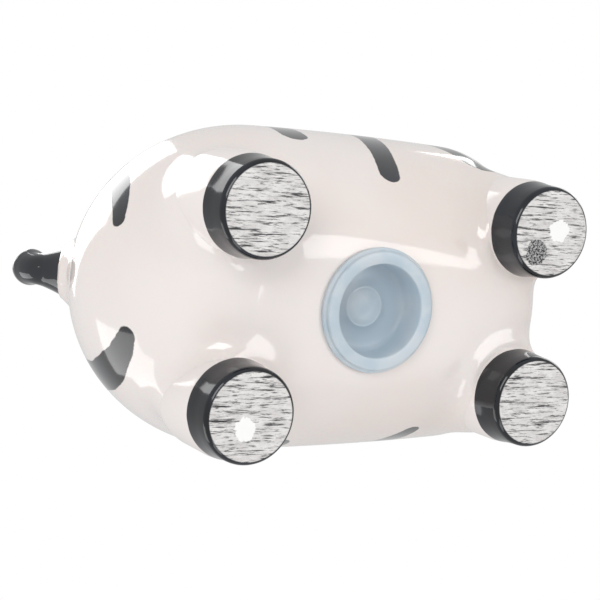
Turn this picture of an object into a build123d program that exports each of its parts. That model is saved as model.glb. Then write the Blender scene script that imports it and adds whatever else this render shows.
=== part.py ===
from build123d import *
import os
from math import cos, radians, sin

os.makedirs("parts", exist_ok=True)

# A hollow glazed-ceramic coin bank: a plump striped zebra standing on four feet.
# +X points to the head, +Y to the animal's left, +Z up, and the soles stand on z = 0.
# Lengths along the body are given from the axis of the belly hole, in millimetres.

# The cast body
wall = 4.5  # thickness of every casting
belly_height = 14.0  # free height under the flat of the belly
belly_flat = 23.0  # half the width of that flat, at the widest station
body_radius = 58.5  # radius of the barrel at its widest station
widest_x = -25.5  # the widest station
rump_length = 62.5  # from the widest station back to the rump
shoulder_x = 54.0  # where the flank starts to turn in to the chest
shoulder_radius = 56.0  # radius of the barrel there
chest_length = 28.0  # from there on to the front of the chest

# The coin slot and the belly hole
slot_length = 38.0
slot_width = 5.0
slot_x = -8.0
hole_radius = 19.0
hole_round = 1.6  # rounded outer edge of the hole
vent_radius = 5.0  # kiln vents from the barrel into legs and head

# The legs
rear_leg = (-51.5, 33.0)  # distance along the body, and out to each side
front_leg = (60.0, 29.7)
sole_radius = 14.0
foot_radius = 16.3
foot_round = 2.3
leg_radius = 18.0
hip_height = 32.0  # where the column of the leg turns into its domed top

# The head
skull = (63.0, 113.0)  # distance along the body, and height
skull_radius = 36.0
muzzle = (93.0, 93.0)
muzzle_radius = 20.5

# The ears
ear_length = 30.0
ear_radius = 9.0
ear_spread = 34.0  # degrees that each ear leans out from upright
ear_scoop = 4.0  # depth of the hollow in the front of the ear
scoop_radius = 13.0  # radius of the ball that presses the hollow

# The mane
mane_height = 8.0
mane_width = 9.0
mane_round = 3.5
mane_front = 48.0  # degrees from the crown down to the forelock
mane_back = 80.0  # degrees from the crown down to the withers

# The tail
tail_above = 31.0  # height of its root over the middle of the rump
tail_rise = 30.0  # degrees that the cone points up
tail_root_radius = 11.0
tail_waist_radius = 5.8
tail_hollow = 0.8  # how far the sides of the cone draw in
tail_length = 11.5  # from the rump to the waist
tail_sink = 6.0  # how deep the blank of the cone starts inside the rump
tuft_radius = 6.8
tuft_back = 1.0  # from the waist to the middle of the tuft
tuft_up = 6.0

# The stopper
stopper_clearance = 0.3
flange_lip = 2.7  # how far the flange reaches past the hole
flange_step = 1.2
lip_thickness = 1.8
step_thickness = 1.4
neck_length = 11.0
neck_taper = 0.9
cup_wall = 1.9
cup_floor = 2.2
mould_ring_radius = 7.2
mould_ring_height = 0.5
mould_ring_width = 0.8

# Places worked out from the sizes above
barrel_z = belly_height + (body_radius**2 - belly_flat**2) ** 0.5
tail_way = (-cos(radians(tail_rise)), sin(radians(tail_rise)))
root_x = widest_x - rump_length * (1 - (tail_above / body_radius) ** 2) ** 0.5
waist = (root_x + tail_way[0] * tail_length, barrel_z + tail_above + tail_way[1] * tail_length)
tuft = (waist[0] - tuft_back, waist[1] + tuft_up)
rear_end = tuft[0] - tuft_radius
front_end = muzzle[0] + muzzle_radius
middle_x = (rear_end + front_end) / 2  # the origin lies half-way along the whole bank
barrel_axis = Axis((0, 0, barrel_z), (1, 0, 0))


def upright(x, height):
    """A plane that stands on the animal's middle, drawn with X forward and Y up."""
    return Plane(origin=(x - middle_x, 0, height), x_dir=(1, 0, 0), z_dir=(0, -1, 0))


def barrel(inset):
    """The barrel of the body as a solid, drawn in by inset all round."""
    rump_reach = rump_length - inset
    radius = body_radius - inset
    shoulder = shoulder_radius - inset
    with BuildPart() as solid:
        with BuildSketch(upright(0, barrel_z)):
            with BuildLine():
                EllipticalCenterArc((widest_x, 0), rump_reach, radius, 90, arc_size=90)
                flank = TangentArc((widest_x, radius), (shoulder_x, shoulder), tangent=(1, 0))
                chest = Spline(
                    flank @ 1,
                    (shoulder_x + 0.72 * (chest_length - inset), 0.7 * shoulder),
                    (shoulder_x + chest_length - inset, 0),
                    tangents=(flank % 1, (0, -1)),
                )
                Line(chest @ 1, (widest_x - rump_reach, 0))
            make_face()
        revolve(axis=barrel_axis)
        belly = Plane.XY.offset(belly_height + inset)
        split(bisect_by=belly, keep=Keep.TOP)
    return solid.part


def leg_blank(x, y, inset):
    """A leg as a column with a rounded foot and a domed top, drawn in by inset."""
    radius = leg_radius - inset
    place = Plane(origin=(x - middle_x, y, 0), x_dir=(1, 0, 0), z_dir=(0, -1, 0))
    with BuildPart() as solid:
        with BuildSketch(place):
            with BuildLine():
                Line((0, inset), (sole_radius - inset, inset))
                TangentArc(
                    (sole_radius - inset, inset), (foot_radius - inset, foot_round + inset), tangent=(1, 0)
                )
                Line((foot_radius - inset, foot_round + inset), (radius, hip_height))
                TangentArc((radius, hip_height), (0, hip_height + radius), tangent=(0, 1))
                Line((0, hip_height + radius), (0, inset))
            make_face()
        revolve(axis=Axis((x - middle_x, y, 0), (0, 0, 1)))
    return solid.part


def head_blank(inset):
    """Skull and muzzle as two balls and the cone that wraps them, drawn in by inset."""
    run = Vector(muzzle[0] - skull[0], muzzle[1] - skull[1])
    lean = (skull_radius - muzzle_radius) / run.length  # sine of the cone's half angle
    across = (1 - lean**2) ** 0.5
    back, front = skull_radius - inset, muzzle_radius - inset
    place = Plane(
        origin=(skull[0] - middle_x, 0, skull[1]), x_dir=(run.X, 0, run.Y), z_dir=(0, -1, 0)
    )
    with BuildPart() as solid:
        with BuildSketch(place):
            with BuildLine():
                back_side = (back * (lean - across) / 2**0.5, back * (lean + across) / 2**0.5)
                back_top = (back * lean, back * across)
                front_top = (run.length + front * lean, front * across)
                ThreePointArc((-back, 0), back_side, back_top)
                Line(back_top, front_top)
                TangentArc(front_top, (run.length + front, 0), tangent=(across, -lean))
                Line((run.length + front, 0), (-back, 0))
            make_face()
        revolve(axis=Axis(place.origin, place.x_dir))
    return solid.part


barrel_outside = barrel(0)
barrel_inside = barrel(wall)
head_outside = head_blank(0)
head_inside = head_blank(wall)

leg_places = {
    "leg_rear_left": (rear_leg[0], rear_leg[1]),
    "leg_rear_right": (rear_leg[0], -rear_leg[1]),
    "leg_front_left": (front_leg[0], front_leg[1]),
    "leg_front_right": (front_leg[0], -front_leg[1]),
}

# The body: one slip casting, with the hole in its belly and the slot in its back
with BuildPart() as body_shell:
    add(barrel_outside)
    add(barrel_inside, mode=Mode.SUBTRACT)
    with BuildSketch(Plane((-middle_x, 0, belly_height))):
        Circle(hole_radius)
    extrude(amount=wall, mode=Mode.SUBTRACT)
    rim = body_shell.edges().filter_by(GeomType.CIRCLE).group_by(Axis.Z)[0]
    fillet(rim, hole_round)
    with BuildSketch(Plane((slot_x - middle_x, 0, barrel_z))):
        SlotOverall(slot_length, slot_width)
    extrude(amount=body_radius, mode=Mode.SUBTRACT)
    for x, y in leg_places.values():
        with BuildSketch(Plane((x - middle_x, y, foot_round))):
            Circle(vent_radius)
        extrude(amount=barrel_z - foot_round, mode=Mode.SUBTRACT)
    with BuildSketch(Plane((skull[0] - middle_x, 0, barrel_z), x_dir=(0, 1, 0), z_dir=(1, 0, 1))):
        Circle(vent_radius)
    extrude(amount=body_radius, mode=Mode.SUBTRACT)
body_shell.part.label = "body_shell"
export_step(body_shell.part, "parts/body_shell.step")

# The legs: four hollow cups, closed at the sole and luted to the belly
for name, (x, y) in leg_places.items():
    with BuildPart() as leg:
        add(leg_blank(x, y, 0))
        add(leg_blank(x, y, wall), mode=Mode.SUBTRACT)
        add(barrel_outside, mode=Mode.SUBTRACT)
    leg.part.label = name
    export_step(leg.part, f"parts/{name}.step")

# The head: a hollow casting luted to the front of the back
with BuildPart() as head_shell:
    add(head_outside)
    add(head_inside, mode=Mode.SUBTRACT)
    add(barrel_outside, mode=Mode.SUBTRACT)
head_shell.part.label = "head_shell"
export_step(head_shell.part, "parts/head_shell.step")

# The ears: two pressed leaves with a hollow front, luted to the skull
for name, side in {"ear_left": 1, "ear_right": -1}.items():
    lean = side * radians(ear_spread)
    up = Vector(0, sin(lean), cos(lean))
    root = Vector(skull[0] - middle_x, 0, skull[1]) + up * (skull_radius - ear_length / 4)
    scoop_centre = root + up * (ear_length / 2) + Vector(ear_radius - ear_scoop + scoop_radius, 0, 0)
    leaf_plane = Plane(origin=root, x_dir=(1, 0, 0), z_dir=Vector(1, 0, 0).cross(up))
    with BuildPart() as ear:
        with BuildSketch(leaf_plane):
            with BuildLine():
                leaf = EllipticalCenterArc((0, ear_length / 2), ear_radius, ear_length / 2, -90, arc_size=180)
                Line(leaf @ 1, leaf @ 0)
            make_face()
        revolve(axis=Axis(root, up))
        with Locations(scoop_centre):
            Sphere(scoop_radius, mode=Mode.SUBTRACT)
        add(head_outside, mode=Mode.SUBTRACT)
    ear.part.label = name
    export_step(ear.part, f"parts/{name}.step")

# The mane: a ridge rolled from clay, from the forelock over the neck to the withers
with BuildPart() as mane:
    with BuildSketch(upright(skull[0], skull[1]).offset(-mane_width / 2)):
        with BuildLine():
            crest = CenterArc((0, 0), skull_radius + mane_height, 90 - mane_front, mane_front + mane_back)
            Polyline(crest @ 1, (0, 0), crest @ 0)
        make_face()
    extrude(amount=mane_width)
    ridge = mane.edges().filter_by(GeomType.CIRCLE)
    fillet(ridge, mane_round)
    add(head_outside, mode=Mode.SUBTRACT)
    add(barrel_outside, mode=Mode.SUBTRACT)
mane.part.label = "mane"
export_step(mane.part, "parts/mane.step")

# The tail: a solid cone with a round tuft curled up behind it, luted to the rump
cone_length = tail_sink + tail_length
cone_start = Vector(waist[0] - middle_x, 0, waist[1]) - Vector(tail_way[0], 0, tail_way[1]) * cone_length
cone_plane = Plane(origin=cone_start, x_dir=(tail_way[0], 0, tail_way[1]), z_dir=(0, -1, 0))
cone_side = (cone_length / 2, (tail_root_radius + tail_waist_radius) / 2 - tail_hollow)
with BuildPart() as tail:
    with BuildSketch(cone_plane):
        with BuildLine():
            Line((0, 0), (0, tail_root_radius))
            ThreePointArc((0, tail_root_radius), cone_side, (cone_length, tail_waist_radius))
            Polyline((cone_length, tail_waist_radius), (cone_length, 0), (0, 0))
        make_face()
    revolve(axis=Axis(cone_plane.origin, cone_plane.x_dir))
    with Locations((tuft[0] - middle_x, 0, tuft[1])):
        Sphere(tuft_radius)
    add(barrel_outside, mode=Mode.SUBTRACT)
tail.part.label = "tail"
export_step(tail.part, "parts/tail.step")

# The stopper: a soft moulded cup that pushes into the hole up to its stepped flange
flange_radius = hole_radius + flange_lip
step_radius = flange_radius - flange_step
neck_radius = hole_radius - stopper_clearance
tip_radius = neck_radius - neck_taper
flange_bottom = belly_height - lip_thickness - step_thickness
tip_height = belly_height + neck_length
with BuildPart() as stopper_plug:
    with BuildSketch(upright(0, 0)):
        with BuildLine():
            Polyline(
                (tip_radius - cup_wall, flange_bottom),
                (step_radius, flange_bottom),
                (step_radius, belly_height - lip_thickness),
                (flange_radius, belly_height - lip_thickness),
                (flange_radius, belly_height),
                (neck_radius, belly_height),
                (tip_radius, tip_height),
                (0, tip_height),
                (0, tip_height - cup_floor),
                (tip_radius - cup_wall, tip_height - cup_floor),
                close=True,
            )
        make_face()
    revolve(axis=Axis((-middle_x, 0, 0), (0, 0, 1)))
    with BuildSketch(Plane((-middle_x, 0, tip_height - cup_floor))):
        Circle(mould_ring_radius)
        Circle(mould_ring_radius - mould_ring_width, mode=Mode.SUBTRACT)
    extrude(amount=-mould_ring_height)
stopper_plug.part.label = "stopper_plug"
export_step(stopper_plug.part, "parts/stopper_plug.step")
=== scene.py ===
import bpy
import math
import numpy as np
from mathutils import Matrix, Vector


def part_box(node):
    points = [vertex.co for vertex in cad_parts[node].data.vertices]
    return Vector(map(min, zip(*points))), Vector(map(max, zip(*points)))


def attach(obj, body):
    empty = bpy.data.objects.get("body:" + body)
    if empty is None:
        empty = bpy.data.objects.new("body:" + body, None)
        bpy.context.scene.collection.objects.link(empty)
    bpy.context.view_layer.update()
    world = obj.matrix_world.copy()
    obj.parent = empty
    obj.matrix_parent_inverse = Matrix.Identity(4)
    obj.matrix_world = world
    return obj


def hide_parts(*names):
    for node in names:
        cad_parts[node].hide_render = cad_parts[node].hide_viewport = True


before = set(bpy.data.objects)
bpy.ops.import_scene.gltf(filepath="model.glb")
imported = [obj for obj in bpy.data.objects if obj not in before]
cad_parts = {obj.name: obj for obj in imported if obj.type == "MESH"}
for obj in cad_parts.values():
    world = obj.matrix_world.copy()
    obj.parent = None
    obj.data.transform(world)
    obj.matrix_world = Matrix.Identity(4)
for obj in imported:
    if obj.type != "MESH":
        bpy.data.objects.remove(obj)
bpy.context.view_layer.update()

# ---------------------------------------------------------------------------
# The barrel. One hollow slip casting in white earthenware, dipped in a clear
# gloss glaze over black brush strokes. The corners where legs, head and tail
# are luted on are wiped round with slip, so the skin flows out into each one.
# ---------------------------------------------------------------------------
MM = 0.001
shell_low, shell_high = (np.array(corner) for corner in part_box("body_shell"))
plug_low, plug_high = (np.array(corner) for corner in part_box("stopper_plug"))
hole_x = (plug_low[0] + plug_high[0]) / 2
barrel_radius = (shell_high[1] - shell_low[1]) / 2
rump_length = 62.5 * MM
widest_x = shell_low[0] + rump_length
chest_length = 28 * MM
shoulder_x = shell_high[0] - chest_length
shoulder_radius = 56 * MM
barrel_z = shell_high[2] - barrel_radius
belly_z = shell_low[2]
shell_wall = 4.5 * MM


def mix(a, b, share):
    """A value part of the way from a to b."""
    return a + (b - a) * share


def round_max(a, b, soft):
    """The larger of two heights, with a rounded corner where they meet."""
    near = np.clip(1 - np.abs(a - b) / soft, 0, None)
    return np.maximum(a, b) + near * near * soft / 4


def barrel_outline(inset, steps):
    """Stations along the barrel and its radius there, from the rump to the chest."""
    turn = np.linspace(0, math.pi / 2, steps)
    rump_x = widest_x - (rump_length - inset) * np.cos(turn)
    rump_r = (barrel_radius - inset) * np.sin(turn)
    along = np.linspace(0, 1, steps)[1:]
    flank_x = mix(widest_x, shoulder_x, along)
    flank_r = barrel_radius - inset - (barrel_radius - shoulder_radius) * along**2
    slope = -2 * (barrel_radius - shoulder_radius) / (shoulder_x - widest_x)
    reach = chest_length - inset
    start = np.array([shoulder_x, shoulder_radius - inset])
    end = np.array([shoulder_x + reach, 0])
    start_pull = start + np.array([1, slope]) * reach * 0.62
    end_pull = end + np.array([0, shoulder_radius * 0.66])
    t = along[:, None]
    rest = 1 - t
    chest = rest**3 * start + 3 * rest**2 * t * start_pull + 3 * rest * t**2 * end_pull + t**3 * end
    stations = np.concatenate([rump_x, flank_x, chest[:, 0]])
    radii = np.concatenate([rump_r, flank_r, chest[:, 1]])
    return stations, radii


def barrel_rings(inset, steps, columns):
    """Rings of points round the barrel, with the belly pressed flat."""
    x, radius = (line[1:-1] for line in barrel_outline(inset, steps))
    turn = np.linspace(0, 2 * math.pi, columns, endpoint=False)
    y = radius[:, None] * np.sin(turn)
    z = barrel_z - radius[:, None] * np.cos(turn)
    z = round_max(z, np.full_like(z, belly_z + inset), 2.5 * MM)
    return np.stack([np.broadcast_to(x[:, None], y.shape), y, z], 2)


def mesh_of_rings(name, rings, inwards=False):
    """A smooth closed mesh over rings of points, whose end rings are drawn to a pole."""
    count, columns = rings.shape[:2]
    points = [*rings.reshape(-1, 3).tolist(), rings[0].mean(0).tolist(), rings[-1].mean(0).tolist()]
    faces = []
    for row in range(count - 1):
        for col in range(columns):
            nxt = (col + 1) % columns
            here = row * columns
            above = here + columns
            faces.append((here + col, here + nxt, above + nxt, above + col))
    last = (count - 1) * columns
    for col in range(columns):
        nxt = (col + 1) % columns
        faces.append((count * columns, nxt, col))
        faces.append((count * columns + 1, last + col, last + nxt))
    if inwards:
        faces = [face[::-1] for face in faces]
    mesh = bpy.data.meshes.new(name)
    mesh.from_pydata(points, [], faces)
    mesh.shade_smooth()
    piece = bpy.data.objects.new(name, mesh)
    bpy.context.collection.objects.link(piece)
    return piece


def mesh_points(piece):
    """The points of a piece's mesh, and the normals there."""
    mesh = piece.data
    points = np.empty(len(mesh.vertices) * 3)
    normals = np.empty(len(mesh.vertices) * 3)
    mesh.vertices.foreach_get("co", points)
    mesh.vertex_normals.foreach_get("vector", normals)
    return points.reshape(-1, 3), normals.reshape(-1, 3)


def set_points(piece, points):
    piece.data.vertices.foreach_set("co", points.ravel())
    piece.data.update()


def keep_field(piece, name, values):
    """Store one number for each point of a piece, for its material to read."""
    field = piece.data.attributes.new(name, "FLOAT", "POINT")
    field.data.foreach_set("value", np.asarray(values, dtype=np.float32))


def distance_to_taper(points, start, end, start_radius, end_radius):
    """How far points lie outside a round bar from start to end that tapers evenly."""
    run = end - start
    share = np.clip((points - start) @ run / (run @ run), 0, 1)
    axis = start + share[:, None] * run
    return np.linalg.norm(points - axis, axis=1) - mix(start_radius, end_radius, share)


def wipe_corner(points, normals, bar, soft, most):
    """Carry points outwards until the corner with a tapered bar is filled round."""
    lift = np.zeros(len(points))
    for _ in range(14):
        gap = distance_to_taper(points + normals * lift[:, None], *bar)
        near = np.clip(1 - np.abs(lift - gap) / soft, 0, None)
        short = np.minimum(lift, gap) - near * near * soft / 4
        lift = np.minimum(lift + np.maximum(-short, 0), most)
    return points + normals * lift[:, None]


def leg_centre(node):
    low, high = (np.array(corner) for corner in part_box(node))
    return (low + high) / 2


leg_nodes = ("leg_front_left", "leg_front_right", "leg_rear_left", "leg_rear_right")
leg_radius = 18 * MM
foot_radius = 16.3 * MM
sole_radius = 14.0 * MM
hip_height = 32 * MM
corner_bars = []
for node in leg_nodes:
    centre = leg_centre(node)
    foot = np.array([centre[0], centre[1], 0])
    hip = np.array([centre[0], centre[1], hip_height])
    corner_bars.append(((foot, hip, foot_radius, leg_radius - 1.5 * MM), 11 * MM, 7 * MM))

skull_centre = np.array([hole_x + 63 * MM, 0, 113 * MM])
muzzle_centre = np.array([hole_x + 93 * MM, 0, 93 * MM])
skull_radius = 36 * MM
muzzle_radius = 20.5 * MM
corner_bars.append(((skull_centre, muzzle_centre, skull_radius, muzzle_radius), 16 * MM, 9 * MM))

tail_root = np.array([hole_x - 79.5 * MM, 0, barrel_z + 31 * MM])
tail_rise = math.radians(30)
tail_waist = tail_root + np.array([-math.cos(tail_rise), 0, math.sin(tail_rise)]) * 11.5 * MM
corner_bars.append(((tail_root, tail_waist, 10.5 * MM, 6 * MM), 6 * MM, 4 * MM))

barrel = mesh_of_rings("barrel", barrel_rings(0, 74, 288))
points, normals = mesh_points(barrel)
if normals[len(normals) // 2] @ (points[len(points) // 2] - np.array([0, 0, barrel_z])) < 0:
    barrel.data.flip_normals()
    points, normals = mesh_points(barrel)
flat_points = points.copy()
for bar, soft, most in corner_bars:
    points = wipe_corner(points, normals, bar, soft, most)
low_limit = np.full(len(points), belly_z - 0.9 * MM)
held_up = round_max(points[:, 2], low_limit, 1.5 * MM)
points[:, 2] = np.where(flat_points[:, 2] > belly_z + 30 * MM, points[:, 2], held_up)
set_points(barrel, points)

# Brush strokes: each comes over the back and ends in a rounded tip on a flank.
# station = where it crosses the back, tip = station and angle up from the belly
# where it ends, half widths at the back and near the tip; side +1 is the left.
strokes = (
    # side, back station, tip station, tip angle, half width at back and at tip, bow
    (-1, -52, -80.5, 58, 8.0, 2.6, -2.0),
    (1, -58, -79.5, 30, 9.0, 3.6, -9.0),
    (-1, -22, -17.0, 75, 6.0, 4.6, 2.0),
    (1, -20, -18.5, 63, 6.5, 4.0, 0.0),
    (-1, 8, 11.5, 52, 7.0, 3.6, 9.0),
    (1, 22, 33.0, 56, 7.5, 3.4, -6.0),
    (-1, 38, 57.0, 60, 6.0, 3.0, -4.0),
    (1, 50, 62.0, 72, 6.0, 3.0, 3.0),
)


outline_x, outline_r = barrel_outline(0, 80)
outline_run = np.concatenate([[0], np.cumsum(np.hypot(np.diff(outline_x), np.diff(outline_r)))]) / MM


def run_at(station):
    """How far along the skin a station is, from the rump, in millimetres."""
    return np.interp(station * MM + hole_x, outline_x, outline_run)


def stroke_field(points):
    """Millimetres outside the nearest brush stroke, negative inside it."""
    run = run_at((points[:, 0] - hole_x) / MM)
    turn = np.degrees(np.arctan2(points[:, 1], -(points[:, 2] - barrel_z)))
    ring = np.maximum(np.hypot(points[:, 1], points[:, 2] - barrel_z) / MM, 1)
    field = np.full(len(points), 99.0)
    for side, back_x, tip_x, tip_turn, back_half, tip_half, bow in strokes:
        climb = (side * turn - tip_turn) / (172 - tip_turn)
        share = np.clip(climb, 0, 1)
        centre = mix(run_at(tip_x), run_at(back_x), share) + bow * np.sin(math.pi * share)
        half = mix(tip_half, back_half, share**0.6)
        short = np.maximum(-climb, 0) * math.radians(172 - tip_turn) * ring
        over = np.maximum(climb - 1, 0) * math.radians(172 - tip_turn) * ring
        off = np.hypot(run - centre, np.hypot(short, over)) - half
        wobble = 0.3 * np.sin(turn * 0.13 + tip_x) + 0.12 * np.sin(turn * 0.31 + back_x)
        field = np.minimum(field, np.where(side * turn > 0, off + wobble, 99.0))
    return field


keep_field(barrel, "stroke", stroke_field(flat_points))

barrel_inside = mesh_of_rings("barrel_inside", barrel_rings(shell_wall, 26, 72))
inner_points, inner_normals = mesh_points(barrel_inside)
middle_row = len(inner_points) // 2
if inner_normals[middle_row] @ (inner_points[middle_row] - np.array([0, 0, barrel_z])) > 0:
    barrel_inside.data.flip_normals()
keep_field(barrel_inside, "stroke", np.full(len(inner_points), 99.0))


def lathe(name, outline, centre, columns=96, axis=(0, 0, 1), across=(1, 0, 0)):
    """Turn an outline of (radius, distance along the axis) about an axis through centre."""
    along = np.array(axis, dtype=float)
    side = np.array(across, dtype=float)
    other = np.cross(along, side)
    outline = np.array(outline)
    turn = np.linspace(0, 2 * math.pi, columns, endpoint=False)
    spoke = np.cos(turn)[:, None] * side + np.sin(turn)[:, None] * other
    rings = np.array(centre) + outline[:, 0, None, None] * spoke + outline[:, 1, None, None] * along
    return mesh_of_rings(name, rings)


def corner(centre, radius, start, end, steps=8):
    """Points of a round corner, from one angle in degrees to another."""
    turn = np.radians(np.linspace(start, end, steps))
    return [(centre[0] + radius * math.cos(a), centre[1] + radius * math.sin(a)) for a in turn]


def glaze_bump(nodes, links, scale, strength, distance):
    """The slight pull and orange peel of a fired glaze, as a bump."""
    coords = nodes.new("ShaderNodeTexCoord")
    noise = nodes.new("ShaderNodeTexNoise")
    noise.inputs["Scale"].default_value = scale
    noise.inputs["Detail"].default_value = 3
    links.new(coords.outputs["Object"], noise.inputs["Vector"])
    bump = nodes.new("ShaderNodeBump")
    bump.inputs["Strength"].default_value = strength
    bump.inputs["Distance"].default_value = distance
    links.new(noise.outputs["Fac"], bump.inputs["Height"])
    return coords, noise, bump


def new_material(name):
    material = bpy.data.materials.new(name)
    material.use_nodes = True
    nodes, links = material.node_tree.nodes, material.node_tree.links
    return material, nodes, links, nodes["Principled BSDF"]


def mixed(nodes, links, share, first, second):
    """A colour mixed from two colours or sockets by a share socket."""
    blend = nodes.new("ShaderNodeMix")
    blend.data_type = "RGBA"
    links.new(share, blend.inputs["Factor"])
    for socket, value in ((blend.inputs["A"], first), (blend.inputs["B"], second)):
        if isinstance(value, tuple):
            socket.default_value = value
        else:
            links.new(value, socket)
    return blend.outputs["Result"]


def ramp(nodes, links, value, low, high):
    """A smooth step from 0 at low to 1 at high."""
    step = nodes.new("ShaderNodeMapRange")
    step.interpolation_type = "SMOOTHSTEP"
    step.inputs["From Min"].default_value = low
    step.inputs["From Max"].default_value = high
    links.new(value, step.inputs["Value"])
    return step.outputs["Result"]


WHITE = (0.86, 0.80, 0.775, 1)
WARM_WHITE = (0.83, 0.745, 0.70, 1)
BLACK = (0.006, 0.007, 0.009, 1)
BLUE_BLACK = (0.016, 0.020, 0.028, 1)


def glaze_material(name, field, edge):
    """White glaze, painted black where the field is under the edge."""
    material, nodes, links, shader = new_material(name)
    coords, noise, bump = glaze_bump(nodes, links, 55, 0.08, 0.0006)
    cloud = nodes.new("ShaderNodeTexNoise")
    cloud.inputs["Scale"].default_value = 14
    links.new(coords.outputs["Object"], cloud.inputs["Vector"])
    white = mixed(nodes, links, ramp(nodes, links, cloud.outputs["Fac"], 0.35, 0.7), WHITE, WARM_WHITE)
    black = mixed(nodes, links, ramp(nodes, links, noise.outputs["Fac"], 0.35, 0.7), BLACK, BLUE_BLACK)
    paint = nodes.new("ShaderNodeAttribute")
    paint.attribute_name = field
    brush = nodes.new("ShaderNodeTexNoise")
    brush.inputs["Scale"].default_value = 420
    links.new(coords.outputs["Object"], brush.inputs["Vector"])
    rough_edge = nodes.new("ShaderNodeMath")
    rough_edge.operation = "MULTIPLY_ADD"
    rough_edge.inputs[1].default_value = 0.7
    links.new(brush.outputs["Fac"], rough_edge.inputs[0])
    links.new(paint.outputs["Fac"], rough_edge.inputs[2])
    bare = ramp(nodes, links, rough_edge.outputs[0], edge + 0.15, edge + 0.65)
    links.new(mixed(nodes, links, bare, black, white), shader.inputs["Base Color"])
    links.new(bump.outputs["Normal"], shader.inputs["Normal"])
    shader.inputs["Roughness"].default_value = 0.12
    shader.inputs["Coat Weight"].default_value = 0.6
    shader.inputs["Coat Roughness"].default_value = 0.04
    shader.inputs["Subsurface Weight"].default_value = 0.08
    shader.inputs["Subsurface Scale"].default_value = 0.004
    return material


def biscuit_painted_shade_material():
    """The unglazed inside: brown biscuit, dusty and matt, with the shade inside the hollow barrel painted
    into its colour as a near-black brown.
    """
    material, nodes, links, shader = new_material("inside_biscuit_painted_shade")
    coords, noise, bump = glaze_bump(nodes, links, 260, 0.4, 0.0008)
    # Painted shade: both browns are near black and stand in for the shade inside the hollow barrel; the
    # clay's own tone is only the brown tint and its noise.
    tone = mixed(nodes, links, noise.outputs["Fac"], (0.030, 0.009, 0.004, 1), (0.070, 0.026, 0.012, 1))
    links.new(tone, shader.inputs["Base Color"])
    links.new(bump.outputs["Normal"], shader.inputs["Normal"])
    shader.inputs["Roughness"].default_value = 0.85
    return material


white_glaze = glaze_material("white_glaze", "stroke", 0)
# The inside's near-black colour is painted shade of the hollow, laid on the biscuit.
biscuit = biscuit_painted_shade_material()
barrel.data.materials.append(white_glaze)
barrel.data.materials.append(biscuit)
barrel_inside.data.materials.append(white_glaze)
barrel_inside.data.materials.append(biscuit)
for face in barrel_inside.data.polygons:
    face.material_index = 1

# The hole is cut with a round-edged cutter, and the slot with a flat one.
hole_radius = 19 * MM
rim_round = 2.2 * MM
rim_edge = hole_radius + rim_round
hole_cutter = lathe(
    "hole_cutter",
    [
        (hole_radius + rim_round * 2, belly_z - 6 * MM),
        (hole_radius + rim_round * 2, belly_z - 1 * MM),
        *[(rim_edge - r, belly_z + rim_round - h) for r, h in corner((0, 0), rim_round, 90, 0)],
        (hole_radius, belly_z + 12 * MM),
    ],
    (hole_x, 0, 0),
    columns=128,
)
slot_x = hole_x - 8 * MM
slot_half = 19 * MM
slot_round = 2.5 * MM
slot_turns = np.linspace(0, 2 * math.pi, 48, endpoint=False)
slot_edge = np.stack(
    [
        slot_x + np.sign(np.cos(slot_turns)) * (slot_half - slot_round) + slot_round * np.cos(slot_turns),
        slot_round * np.sin(slot_turns),
    ],
    1,
)
slot_heights = (barrel_z + 50 * MM, barrel_z + 64 * MM)
slot_rings = [np.column_stack([slot_edge, np.full(len(slot_edge), h)]) for h in slot_heights]
slot_cutter = mesh_of_rings("slot_cutter", np.array(slot_rings))


def join(pieces):
    """Join pieces into the first."""
    bpy.ops.object.select_all(action="DESELECT")
    for piece in pieces:
        piece.select_set(True)
    bpy.context.view_layer.objects.active = pieces[0]
    bpy.ops.object.join()
    return pieces[0]


def point_outwards(piece):
    bpy.ops.object.select_all(action="DESELECT")
    piece.select_set(True)
    bpy.context.view_layer.objects.active = piece
    bpy.ops.object.mode_set(mode="EDIT")
    bpy.ops.mesh.select_all(action="SELECT")
    bpy.ops.mesh.normals_make_consistent(inside=False)
    bpy.ops.object.mode_set(mode="OBJECT")


def cut_away(piece, cutter):
    """Cut a cutter's shape out of a piece and throw the cutter away."""
    point_outwards(cutter)
    for material in piece.data.materials:
        cutter.data.materials.append(material)
    cut = piece.modifiers.new("cut", "BOOLEAN")
    cut.operation = "DIFFERENCE"
    cut.solver = "MANIFOLD"
    cut.object = cutter
    bpy.ops.object.select_all(action="DESELECT")
    piece.select_set(True)
    bpy.context.view_layer.objects.active = piece
    bpy.ops.object.modifier_apply(modifier=cut.name)
    bpy.data.objects.remove(cutter)


def bake_modifiers(piece):
    """Turn a piece's modifiers into a plain mesh."""
    depsgraph = bpy.context.evaluated_depsgraph_get()
    ready = piece.evaluated_get(depsgraph)
    mesh = bpy.data.meshes.new_from_object(ready, preserve_all_data_layers=True, depsgraph=depsgraph)
    piece.modifiers.clear()
    piece.data = mesh


barrel = join([barrel, barrel_inside])
cut_away(barrel, hole_cutter)
cut_away(barrel, slot_cutter)
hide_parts("body_shell")
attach(barrel, "bank")

# ---------------------------------------------------------------------------
# The legs. Four hollow cups, dipped in black glaze up to the belly. The flat
# soles are wiped bare so they don't stick to the kiln shelf, and are scuffed
# with black from standing and sliding about.
# ---------------------------------------------------------------------------
glaze_line = 12.5 * MM


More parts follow.
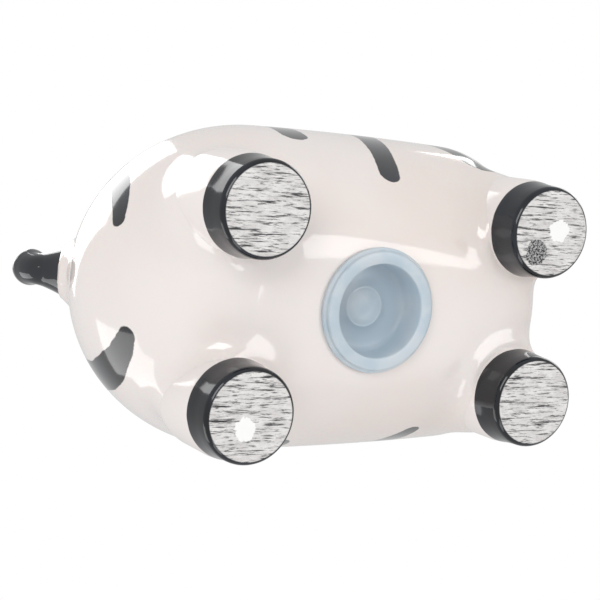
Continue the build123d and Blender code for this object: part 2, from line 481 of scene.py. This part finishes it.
def sole_material(name, blob, stain):
    """Black glaze on the side of a foot and scuffed bare biscuit under it."""
    material, nodes, links, shader = new_material(name)
    coords, noise, bump = glaze_bump(nodes, links, 70, 0.08, 0.0005)
    black = mixed(nodes, links, ramp(nodes, links, noise.outputs["Fac"], 0.35, 0.7), BLACK, BLUE_BLACK)
    ring = nodes.new("ShaderNodeAttribute")
    ring.attribute_name = "ring"
    height = nodes.new("ShaderNodeAttribute")
    height.attribute_name = "height"

    def streaks(scale_x, scale_y, low, high, detail):
        mapping = nodes.new("ShaderNodeMapping")
        mapping.inputs["Scale"].default_value = (scale_x, scale_y, 60)
        mapping.inputs["Rotation"].default_value = (0, 0, math.radians(-8))
        links.new(coords.outputs["Object"], mapping.inputs["Vector"])
        streak = nodes.new("ShaderNodeTexNoise")
        streak.inputs["Scale"].default_value = 1
        streak.inputs["Detail"].default_value = detail
        streak.inputs["Roughness"].default_value = 0.7
        links.new(mapping.outputs["Vector"], streak.inputs["Vector"])
        return ramp(nodes, links, streak.outputs["Fac"], low, high)

    def spot(at, size, ragged):
        """A ragged patch round a place on the sole, 1 inside it."""
        away = nodes.new("ShaderNodeVectorMath")
        away.operation = "DISTANCE"
        away.inputs[1].default_value = (at[0], at[1], 0)
        links.new(coords.outputs["Object"], away.inputs[0])
        rag = nodes.new("ShaderNodeTexNoise")
        rag.inputs["Scale"].default_value = 420
        rag.inputs["Detail"].default_value = 5
        links.new(coords.outputs["Object"], rag.inputs["Vector"])
        add = nodes.new("ShaderNodeMath")
        add.operation = "MULTIPLY_ADD"
        add.inputs[1].default_value = ragged
        links.new(rag.outputs["Fac"], add.inputs[0])
        links.new(away.outputs["Value"], add.inputs[2])
        edge = size + ragged / 2
        return ramp(nodes, links, add.outputs[0], edge + 0.5 * MM, edge)

    grey_clay, white_clay = (0.62, 0.60, 0.59, 1), (0.80, 0.785, 0.77, 1)
    clay = mixed(nodes, links, streaks(160, 260, 0.3, 0.7, 4), grey_clay, white_clay)
    dirty = mixed(nodes, links, streaks(70, 900, 0.52, 0.62, 6), clay, (0.035, 0.035, 0.038, 1))
    dirty = mixed(nodes, links, streaks(190, 1500, 0.54, 0.63, 5), dirty, (0.10, 0.10, 0.10, 1))
    sole = dirty
    if stain is not None:
        soot, ash = (0.03, 0.03, 0.03, 1), (0.42, 0.42, 0.42, 1)
        speckle = mixed(nodes, links, streaks(1300, 1300, 0.46, 0.56, 2), soot, ash)
        sole = mixed(nodes, links, spot(stain, 4.2 * MM, 3 * MM), sole, speckle)
    if blob is not None:
        sole = mixed(nodes, links, spot(blob, 3.6 * MM, 4 * MM), sole, (0.93, 0.93, 0.92, 1))
    under = ramp(nodes, links, height.outputs["Fac"], 0.6, 0.3)
    inside_rim = ramp(nodes, links, ring.outputs["Fac"], sole_radius / MM + 1.1, sole_radius / MM + 0.7)
    bare = nodes.new("ShaderNodeMath")
    bare.operation = "MULTIPLY"
    links.new(under, bare.inputs[0])
    links.new(inside_rim, bare.inputs[1])
    above = nodes.new("ShaderNodeMath")
    above.operation = "MULTIPLY_ADD"
    above.inputs[1].default_value = 1.4
    links.new(noise.outputs["Fac"], above.inputs[0])
    links.new(height.outputs["Fac"], above.inputs[2])
    white = ramp(nodes, links, above.outputs[0], glaze_line / MM + 0.5, glaze_line / MM + 0.9)
    side = mixed(nodes, links, white, black, WHITE)
    links.new(mixed(nodes, links, bare.outputs[0], side, sole), shader.inputs["Base Color"])
    rough = nodes.new("ShaderNodeMapRange")
    rough.inputs["To Min"].default_value = 0.10
    rough.inputs["To Max"].default_value = 0.75
    links.new(bare.outputs[0], rough.inputs["Value"])
    links.new(rough.outputs["Result"], shader.inputs["Roughness"])
    links.new(bump.outputs["Normal"], shader.inputs["Normal"])
    return material


for node in leg_nodes:
    centre = leg_centre(node)
    outline = [
        (0.001 * MM, 0),
        (5 * MM, 0),
        (10 * MM, 0),
        (sole_radius - 0.6 * MM, 0),
        *corner((sole_radius, 2.3 * MM), 2.3 * MM, -90, 0),
        (foot_radius + 0.15 * MM, 6 * MM),
        (foot_radius + 0.5 * MM, 10 * MM),
        (foot_radius + 0.9 * MM, glaze_line),
        (foot_radius + 1.2 * MM, 16 * MM),
        (leg_radius - 0.5 * MM, 24 * MM),
        (leg_radius - 0.5 * MM, hip_height),
        *corner((0, hip_height), leg_radius - 0.5 * MM, 8, 88),
    ]
    leg = lathe(node + "_cast", outline, (centre[0], centre[1], 0), columns=128)
    leg_points, _ = mesh_points(leg)
    away = leg_points - np.array([centre[0], centre[1], 0])
    keep_field(leg, "ring", np.hypot(away[:, 0], away[:, 1]) / MM)
    keep_field(leg, "height", away[:, 2] / MM)
    point_outwards(leg)
    blob = stain = None
    if node == "leg_rear_left":
        blob = (centre[0] - 2 * MM, centre[1] + 4 * MM)
    if node == "leg_front_right":
        blob = (centre[0] + 3 * MM, centre[1] - 1 * MM)
        stain = (centre[0] - 6 * MM, centre[1] + 7 * MM)
    leg.data.materials.append(sole_material(node + "_glaze", blob, stain))
    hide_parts(node)
    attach(leg, "bank")

# ---------------------------------------------------------------------------
# The head. A hollow casting luted to the front of the back: a round skull that
# draws down to a black muzzle, with painted eyes, brows and forehead strokes.
# ---------------------------------------------------------------------------
head_run = muzzle_centre - skull_centre
head_length = float(np.linalg.norm(head_run))
head_way = head_run / head_length
head_lean = (skull_radius - muzzle_radius) / head_length
head_angle = math.degrees(math.asin(head_lean))
cheek_cosine = math.cos(math.radians(head_angle))
head_outline = [
    *[(r, h) for h, r in reversed(corner((0, 0), skull_radius, 90 - head_angle, 179.9, 30))],
    *[
        (
            mix(skull_radius, muzzle_radius, t) * cheek_cosine - 1.2 * MM * math.sin(math.pi * t),
            mix(skull_radius * head_lean, head_length + muzzle_radius * head_lean, t),
        )
        for t in np.linspace(0, 1, 16)[1:-1]
    ],
    *[(r, head_length + h) for h, r in reversed(corner((0, 0), muzzle_radius, 0.1, 90 - head_angle, 22))],
]
head = lathe("head_cast", head_outline, skull_centre, 160, head_way, (0, 1, 0))
point_outwards(head)
head_points, _ = mesh_points(head)
head_up = np.cross(head_way, np.array([0, 1, 0]))
if head_up[2] < 0:
    head_up = -head_up


def head_place(forward, side, up):
    """A place on the head, from the skull's middle, in millimetres along its own ways."""
    return skull_centre + (head_way * forward + np.array([0, 1, 0]) * side + head_up * up) * MM


def head_field(points):
    """Millimetres outside the nearest painted patch on the head, negative inside it."""
    forward = (points - skull_centre) @ head_way / MM
    up = (points - skull_centre) @ head_up / MM
    side = points[:, 1] / MM
    field = -(forward - 35.0 - 0.05 * up - 1.2 * np.cos(side * 0.22))
    for row, (reach, half) in enumerate(((13, 2.6), (17, 2.9), (20, 3.0))):
        middle = 14 - row * 10.5 - 0.09 * np.abs(side) ** 1.25
        taper = half * np.clip(1 - (np.abs(side) / reach) ** 2, 0, 1) ** 0.5
        stroke = np.where(up > 0, np.abs(forward - middle) - taper, 99.0)
        field = np.minimum(field, np.where(taper > 0.05, stroke, 99.0))
    return field


keep_field(head, "stroke", head_field(head_points))
head.data.materials.append(glaze_material("head_glaze", "stroke", 0))
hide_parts("head_shell")
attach(head, "bank")


def on_head(forward, side, sink):
    """The point of the head's side at a place along it and out to a side, sunk in a little."""
    share = np.clip(forward / (head_length / MM), 0, 1)
    if share < 1:
        radius = (skull_radius / MM - forward * head_lean) / cheek_cosine
        slope = head_lean
    else:
        radius = ((muzzle_radius / MM) ** 2 - (forward - head_length / MM) ** 2) ** 0.5
        slope = (forward - head_length / MM) / (muzzle_radius / MM)
    out = max(radius**2 - side**2, 0) ** 0.5
    place = head_place(forward, side, out)
    spoke = (place - head_place(forward, 0, 0)) / (radius * MM)
    way = spoke * (1 - slope**2) ** 0.5 + head_way * slope
    return place - way * sink * MM, way


def button(name, place, way, width, height, thick, material):
    """A domed oval that sits on the surface of the head."""
    up = np.array([0, 0, 1.0]) - way * way[2]
    up /= np.linalg.norm(up)
    outline = [(r, h) for r, h in corner((0, 0), 1, 0.5, 89.5, 10)]
    outline = [(0.96, -0.6), *outline]
    piece = lathe(name, outline, (0, 0, 0), 40)
    flat, _ = mesh_points(piece)
    across = np.cross(up, way)
    spread = flat[:, :1] * across * width + flat[:, 1:2] * up * height
    placed = place + (spread + flat[:, 2:] * way * thick) * MM
    set_points(piece, placed)
    point_outwards(piece)
    piece.data.materials.append(material)
    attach(piece, "bank")
    return piece


def plain_glaze(name, first, second):
    """One glaze colour, slightly clouded."""
    material, nodes, links, shader = new_material(name)
    coords, noise, bump = glaze_bump(nodes, links, 90, 0.06, 0.0004)
    links.new(mixed(nodes, links, noise.outputs["Fac"], first, second), shader.inputs["Base Color"])
    links.new(bump.outputs["Normal"], shader.inputs["Normal"])
    shader.inputs["Roughness"].default_value = 0.09
    shader.inputs["Coat Weight"].default_value = 0.5
    shader.inputs["Coat Roughness"].default_value = 0.03
    return material


eye_glaze = plain_glaze("eye_glaze", BLACK, BLUE_BLACK)
# Painted highlight: a near-white glaze for the dot that stands in for a glint on each glossy black eye.
painted_highlight_glaze = plain_glaze("painted_highlight_glaze", (0.85, 0.85, 0.85, 1), (0.9, 0.9, 0.9, 1))
nostril_glaze = plain_glaze("nostril_glaze", (0.10, 0.09, 0.09, 1), (0.16, 0.14, 0.14, 1))
for side, label in ((1, "left"), (-1, "right")):
    place, way = on_head(19, side * 20.5, 0.6)
    button("eye_" + label, place, way, 3.6, 4.8, 1.5, eye_glaze)
    # The white dot set on each eye is a painted highlight.
    place, way = on_head(18.0, side * 21.5, -0.7)
    button("eye_painted_highlight_" + label, place, way, 1.1, 1.2, 0.5, painted_highlight_glaze)
    place, way = on_head(46, side * 8.5, 2.2)
    button("nostril_" + label, place, way, 2.0, 1.4, 0.7, nostril_glaze)

# ---------------------------------------------------------------------------
# The ears. Two pressed leaves of clay with a hollow front, luted to the skull
# and painted black inside and round the tip.
# ---------------------------------------------------------------------------
ear_glaze = glaze_material("ear_glaze", "stroke", 0)
ear_lean = math.radians(34)
for side, label in ((1, "left"), (-1, "right")):
    up = np.array([0, side * math.sin(ear_lean), math.cos(ear_lean)])
    root = skull_centre + up * (skull_radius - 7.5 * MM)
    turn = np.linspace(-89, 89, 44)
    leaf = [(9 * MM * math.cos(math.radians(a)), (15 + 15 * math.sin(math.radians(a))) * MM) for a in turn]
    ear = lathe("ear_%s_leaf" % label, leaf, root, 56, up, (1, 0, 0))
    ear_points, _ = mesh_points(ear)
    away = ear_points - root
    height = away @ up / MM
    front = away[:, 0] / MM
    across = away @ np.cross(up, np.array([1, 0, 0])) / MM
    width = 9 * np.sqrt(np.clip(1 - ((height - 15) / 15) ** 2, 0, 1))
    hollow = np.clip(1 - (across / np.maximum(width, 0.1)) ** 2 * 1.35, 0, 1)
    press = np.where(front > 0, front * 1.35 * hollow, 0)
    ear_points[:, 0] -= np.clip(press, 0, 9.5) * MM
    set_points(ear, ear_points)
    point_outwards(ear)
    inner = np.where((front > 0) & (hollow > 0.0), 1.5 - hollow * 4, 3.0)
    tip = 24.5 - height
    keep_field(ear, "stroke", np.minimum(inner, tip))
    ear.data.materials.append(ear_glaze)
    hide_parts("ear_" + label)
    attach(ear, "bank")

# ---------------------------------------------------------------------------
# The mane. A row of small clay pads pressed side by side along the crest, from
# the forelock over the skull to the withers, under black glaze.
# ---------------------------------------------------------------------------
mane_tree = bpy.data.node_groups.new("mane_pads", "GeometryNodeTree")
mane_inputs = (
    ("Radius", "Float"),
    ("Front", "Float"),
    ("Back", "Float"),
    ("Pads", "Int"),
    ("Pad", "Float"),
    ("Finish", "Material"),
)
for name, kind in mane_inputs:
    mane_tree.interface.new_socket(name, in_out="INPUT", socket_type="NodeSocket" + kind)
mane_tree.interface.new_socket("Geometry", in_out="OUTPUT", socket_type="NodeSocketGeometry")
tree, wire = mane_tree.nodes, mane_tree.links
given = tree.new("NodeGroupInput")
crest = tree.new("GeometryNodeCurveArc")
crest.inputs["Resolution"].default_value = 64
wire.new(given.outputs["Radius"], crest.inputs["Radius"])
wire.new(given.outputs["Front"], crest.inputs["Start Angle"])
wire.new(given.outputs["Back"], crest.inputs["Sweep Angle"])
spaced = tree.new("GeometryNodeResampleCurve")
wire.new(crest.outputs["Curve"], spaced.inputs["Curve"])
wire.new(given.outputs["Pads"], spaced.inputs["Count"])
pad = tree.new("GeometryNodeMeshUVSphere")
pad.inputs["Segments"].default_value = 32
pad.inputs["Rings"].default_value = 20
wire.new(given.outputs["Pad"], pad.inputs["Radius"])
along = tree.new("GeometryNodeInputTangent")
turned = tree.new("FunctionNodeAlignRotationToVector")
turned.axis = "Z"
wire.new(along.outputs["Tangent"], turned.inputs["Vector"])
size = tree.new("FunctionNodeRandomValue")
size.data_type = "FLOAT_VECTOR"
size.inputs["Min"].default_value = (0.92, 0.96, 0.56)
size.inputs["Max"].default_value = (1.0, 1.0, 0.66)
size.inputs["Seed"].default_value = 4
placed = tree.new("GeometryNodeInstanceOnPoints")
wire.new(spaced.outputs["Curve"], placed.inputs["Points"])
wire.new(pad.outputs["Mesh"], placed.inputs["Instance"])
wire.new(turned.outputs["Rotation"], placed.inputs["Rotation"])
wire.new(size.outputs["Value"], placed.inputs["Scale"])
real = tree.new("GeometryNodeRealizeInstances")
wire.new(placed.outputs["Instances"], real.inputs["Geometry"])
smooth = tree.new("GeometryNodeSetShadeSmooth")
wire.new(real.outputs["Geometry"], smooth.inputs["Geometry"])
finish = tree.new("GeometryNodeSetMaterial")
wire.new(smooth.outputs["Geometry"], finish.inputs["Geometry"])
wire.new(given.outputs["Finish"], finish.inputs["Material"])
result = tree.new("NodeGroupOutput")
wire.new(finish.outputs["Geometry"], result.inputs["Geometry"])

mane_glaze = plain_glaze("mane_glaze", BLACK, BLUE_BLACK)
mane = bpy.data.objects.new("mane_pads", bpy.data.meshes.new("mane_pads"))
bpy.context.collection.objects.link(mane)
grow = mane.modifiers.new("pads", "NODES")
grow.node_group = mane_tree
mane_sizes = {
    "Radius": skull_radius + 2.6 * MM,
    "Front": math.radians(90 - 46),
    "Back": math.radians(46 + 76),
    "Pads": 15,
    "Pad": 5.0 * MM,
    "Finish": mane_glaze,
}
for item in mane_tree.interface.items_tree:
    if item.item_type == "SOCKET" and item.in_out == "INPUT":
        grow[item.identifier] = mane_sizes[item.name]
bake_modifiers(mane)
stand_up = Matrix.Translation(Vector(skull_centre)) @ Matrix.Rotation(math.pi / 2, 4, "X")
mane.data.transform(stand_up)
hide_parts("mane")
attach(mane, "bank")

# ---------------------------------------------------------------------------
# The tail. A solid roll of clay, thick at the root and drawn in to a waist,
# with a round tuft curled up behind it, under black glaze.
# ---------------------------------------------------------------------------
tuft_centre = tail_waist + np.array([-1.0, 0, 6.0]) * MM
tail_path = [
    (tail_root + (tail_root - tail_waist) * 0.35, 11.2),
    (tail_root, 10.0),
    (mix(tail_root, tail_waist, 0.4), 7.9),
    (mix(tail_root, tail_waist, 0.75), 6.4),
    (tail_waist, 5.7),
    (mix(tail_waist, tuft_centre, 0.35) + np.array([-0.6, 0, 0]) * MM, 5.9),
    (mix(tail_waist, tuft_centre, 0.7) + np.array([-0.4, 0, 0]) * MM, 6.5),
    (tuft_centre, 6.7),
    (tuft_centre + np.array([0.7, 0, 2.6]) * MM, 6.0),
    (tuft_centre + np.array([1.2, 0, 4.8]) * MM, 4.4),
    (tuft_centre + np.array([1.5, 0, 6.0]) * MM, 2.6),
    (tuft_centre + np.array([1.6, 0, 6.6]) * MM, 0.3),
]


def smooth_path(path, steps):
    """Points and radii along a Catmull-Rom curve through the given stations."""
    marks = np.array([[*place, radius * MM] for place, radius in path])
    marks = np.vstack([2 * marks[0] - marks[1], marks, 2 * marks[-1] - marks[-2]])
    out = []
    for a, b, c, d in zip(marks, marks[1:], marks[2:], marks[3:]):
        slope = c - a
        curve = 2 * a - 5 * b + 4 * c - d
        twist = 3 * b - a - 3 * c + d
        for t in np.linspace(0, 1, steps, endpoint=False):
            out.append(0.5 * (2 * b + slope * t + curve * t**2 + twist * t**3))
    out.append(marks[-2])
    return np.array(out)


stations = smooth_path(tail_path, 6)
ways = np.gradient(stations[:, :3], axis=0)
ways /= np.linalg.norm(ways, axis=1)[:, None]
side_way = np.array([0, 1.0, 0])
turn = np.linspace(0, 2 * math.pi, 72, endpoint=False)
tail_rings = []
for station, way in zip(stations, ways):
    up_way = np.cross(way, side_way)
    spoke = np.cos(turn)[:, None] * side_way + np.sin(turn)[:, None] * up_way
    tail_rings.append(station[:3] + max(station[3], 0.05 * MM) * spoke)
tail = mesh_of_rings("tail_roll", np.array(tail_rings))
point_outwards(tail)
tail.data.materials.append(plain_glaze("tail_glaze", BLACK, BLUE_BLACK))
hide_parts("tail")
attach(tail, "bank")

# ---------------------------------------------------------------------------
# The stopper. One soft moulding in milky, faintly blue silicone: a cup with a
# stepped flange, open to the outside, with the gate ring of the mould inside.
# ---------------------------------------------------------------------------
plug_bottom, plug_top = plug_low[2], plug_high[2]
flange_radius = (plug_high[0] - plug_low[0]) / 2
step_radius = flange_radius - 1.2 * MM
neck_radius = hole_radius - 0.3 * MM
tip_radius = neck_radius - 0.9 * MM
cup_radius = tip_radius - 1.9 * MM
cup_floor_z = plug_top - 2.2 * MM
lip_bottom = belly_z - 1.8 * MM
gate = 7.2 * MM
stopper_outline = [
    (0.01 * MM, cup_floor_z - 0.1 * MM),
    (1.2 * MM, cup_floor_z - 0.1 * MM),
    (1.8 * MM, cup_floor_z),
    (gate - 0.9 * MM, cup_floor_z),
    (gate - 0.7 * MM, cup_floor_z - 0.45 * MM),
    (gate, cup_floor_z - 0.5 * MM),
    (gate + 0.2 * MM, cup_floor_z),
    (cup_radius - 3.2 * MM, cup_floor_z),
    *corner((cup_radius - 2.4 * MM, cup_floor_z - 2.4 * MM), 2.4 * MM, 80, 0),
    (cup_radius + 0.3 * MM, plug_bottom + 3.0 * MM),
    *corner((cup_radius + 0.9 * MM, plug_bottom + 0.6 * MM), 0.6 * MM, 180, 265, 6),
    *corner((step_radius - 0.7 * MM, plug_bottom + 0.7 * MM), 0.7 * MM, -88, 0, 6),
    (step_radius, lip_bottom - 0.2 * MM),
    *corner((flange_radius - 0.6 * MM, lip_bottom + 0.6 * MM), 0.6 * MM, -88, 0, 6),
    *corner((flange_radius - 0.5 * MM, belly_z - 0.5 * MM), 0.5 * MM, 0, 88, 5),
    (neck_radius + 0.3 * MM, belly_z),
    (neck_radius, belly_z + 0.4 * MM),
    (mix(neck_radius, tip_radius, 0.8), plug_top - 2.0 * MM),
    *corner((tip_radius - 1.0 * MM, plug_top - 1.0 * MM), 1.0 * MM, 0, 90, 6),
    (0.01 * MM, plug_top),
]
stopper = lathe("stopper_cup", stopper_outline, (hole_x, 0, 0), columns=160)
point_outwards(stopper)


def silicone_material():
    """Milky blue silicone, satin, with faint flow clouds and moulding dust."""
    material, nodes, links, shader = new_material("milky_silicone")
    coords, noise, bump = glaze_bump(nodes, links, 180, 0.12, 0.0004)
    cloud = nodes.new("ShaderNodeTexNoise")
    cloud.inputs["Scale"].default_value = 60
    cloud.inputs["Detail"].default_value = 4
    links.new(coords.outputs["Object"], cloud.inputs["Vector"])
    blue_milk, white_milk = (0.60, 0.71, 0.80, 1), (0.72, 0.79, 0.85, 1)
    tone = mixed(nodes, links, ramp(nodes, links, cloud.outputs["Fac"], 0.4, 0.65), blue_milk, white_milk)
    links.new(tone, shader.inputs["Base Color"])
    links.new(bump.outputs["Normal"], shader.inputs["Normal"])
    shader.inputs["Roughness"].default_value = 0.28
    shader.inputs["Transmission Weight"].default_value = 0.22
    shader.inputs["IOR"].default_value = 1.41
    shader.inputs["Subsurface Weight"].default_value = 0.35
    shader.inputs["Subsurface Scale"].default_value = 0.006
    shader.inputs["Subsurface Radius"].default_value = (0.8, 0.9, 1.0)
    return material


stopper.data.materials.append(silicone_material())
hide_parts("stopper_plug")
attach(stopper, "stopper")

# ---------------------------------------------------------------------------
# The stand: a pale floor that is seen only from above, so that the bank can be
# looked at from underneath, and a plain white surround.
# ---------------------------------------------------------------------------
bpy.ops.mesh.primitive_plane_add(size=6)
floor = bpy.context.object
floor.name = "floor"
floor_material, nodes, links, shader = new_material("floor_paint")
shader.inputs["Base Color"].default_value = (0.93, 0.93, 0.93, 1)
shader.inputs["Roughness"].default_value = 0.6
facing = nodes.new("ShaderNodeNewGeometry")
clear = nodes.new("ShaderNodeBsdfTransparent")
choice = nodes.new("ShaderNodeMixShader")
links.new(facing.outputs["Backfacing"], choice.inputs["Fac"])
links.new(shader.outputs["BSDF"], choice.inputs[1])
links.new(clear.outputs["BSDF"], choice.inputs[2])
links.new(choice.outputs["Shader"], nodes["Material Output"].inputs["Surface"])
floor.data.materials.append(floor_material)
floor.visible_shadow = False
floor.visible_diffuse = False
floor.visible_glossy = False
floor.visible_transmission = False

world = bpy.data.worlds.new("studio")
bpy.context.scene.world = world
world.use_nodes = True
nodes, links = world.node_tree.nodes, world.node_tree.links
path = nodes.new("ShaderNodeLightPath")
seen = nodes.new("ShaderNodeMath")
seen.operation = "MAXIMUM"
links.new(path.outputs["Is Camera Ray"], seen.inputs[0])
links.new(path.outputs["Is Transmission Ray"], seen.inputs[1])
strength = nodes.new("ShaderNodeMapRange")
strength.inputs["To Min"].default_value = 0.66
strength.inputs["To Max"].default_value = 1.0
links.new(seen.outputs[0], strength.inputs["Value"])
links.new(strength.outputs["Result"], nodes["Background"].inputs["Strength"])
nodes["Background"].inputs["Color"].default_value = (1, 1, 1, 1)

# Soft boxes: each looks at the middle of the barrel.
barrel_middle = Vector((hole_x - 8 * MM, 0, barrel_z))
soft_boxes = (
    # way from the barrel, distance, width, height, watts
    ("key", (-0.75, -0.55, -0.75), 0.9, 0.45, 0.35, 2.2),
    ("fill", (0.45, -0.20, -1.0), 0.9, 0.40, 0.40, 1.4),
    ("side", (-0.30, 0.85, -0.60), 1.0, 0.30, 0.60, 1.2),
    ("top", (-0.2, -0.3, 1.0), 1.1, 0.8, 0.8, 6.0),
    ("front", (1.0, -0.5, 0.45), 1.1, 0.5, 0.7, 3.0),
    ("back", (-0.9, 0.8, 0.5), 1.1, 0.5, 0.7, 2.0),
)
for name, way, distance, width, height, watts in soft_boxes:
    light = bpy.data.lights.new(name, "AREA")
    light.shape = "RECTANGLE"
    light.size, light.size_y = width, height
    light.energy = watts
    lamp = bpy.data.objects.new(name, light)
    place = barrel_middle + Vector(way).normalized() * distance
    lamp.location = place
    lamp.rotation_euler = (barrel_middle - place).to_track_quat("-Z", "Y").to_euler()
    bpy.context.collection.objects.link(lamp)

# The camera looks up at the belly from behind and a little to the animal's right.
view_swing = math.tan(math.radians(28.93))
view_tilt = math.tan(math.radians(7.83))
view_roll = math.radians(4.9)
view_distance = 573.3 * MM
aim = Vector((hole_x - 10.2 * MM, 2.0 * MM, 50 * MM))
back_way = Vector((-view_swing, -view_tilt, -1)).normalized()
right_way = Vector((0, -1, 0)).cross(back_way).normalized()
up_way = back_way.cross(right_way)
rolled_right = right_way * math.cos(view_roll) + up_way * math.sin(view_roll)
rolled_up = up_way * math.cos(view_roll) - right_way * math.sin(view_roll)
lens = bpy.data.cameras.new("camera")
lens.lens = 96
lens.sensor_width = 36
lens.clip_start = 0.01
camera = bpy.data.objects.new("camera", lens)
turned = Matrix((rolled_right, rolled_up, back_way)).transposed().to_4x4()
camera.matrix_world = Matrix.Translation(aim + back_way * view_distance) @ turned
bpy.context.collection.objects.link(camera)
bpy.context.scene.camera = camera
bpy.context.scene.view_settings.view_transform = "Standard"
